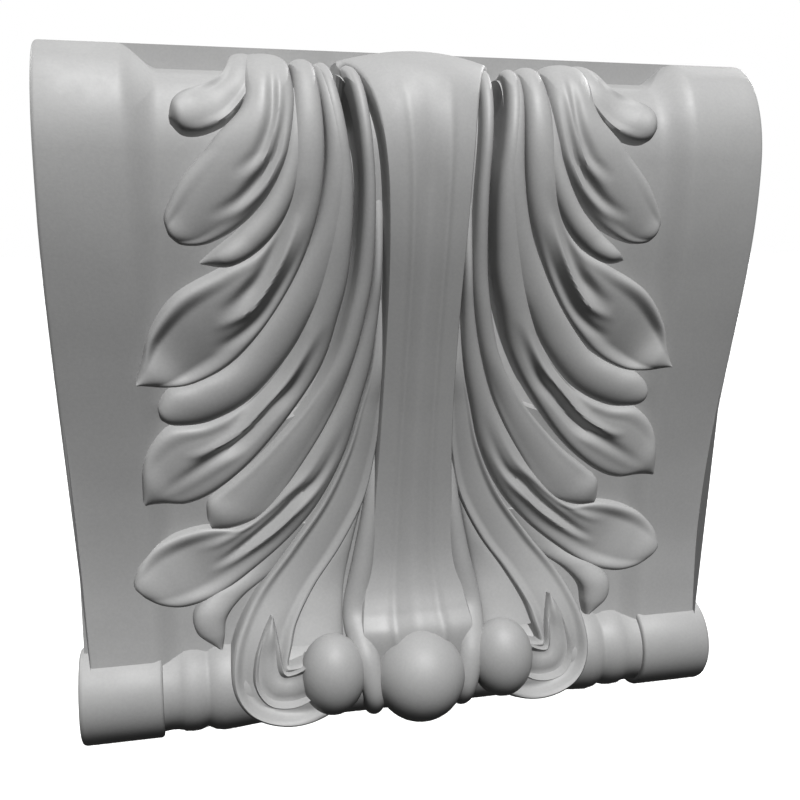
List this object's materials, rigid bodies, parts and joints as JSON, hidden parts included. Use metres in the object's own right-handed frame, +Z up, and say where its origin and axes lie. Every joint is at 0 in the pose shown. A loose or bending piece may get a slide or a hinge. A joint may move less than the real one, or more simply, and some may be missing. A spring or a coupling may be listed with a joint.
{
  "type": "carved corbel",
  "caption": "Carved stone corbel: a scrolled block with acanthus leaves, a fluted stem, foot volutes and a turned foot roll, flat at the back to go on a wall.",
  "frame": {"origin": "middle of the flat back face, which lies on the wall", "axes": "+Z up, +Y into the wall, +X to the right of someone who faces the carving, which looks along -Y"},
  "size_m": [0.2574, 0.056, 0.2537],
  "materials": {
    "stone": "matt, fine-grained, lightly tooled"
  },
  "bodies": {
    "root": {"corbel": "stone"}
  },
  "joints": []
}
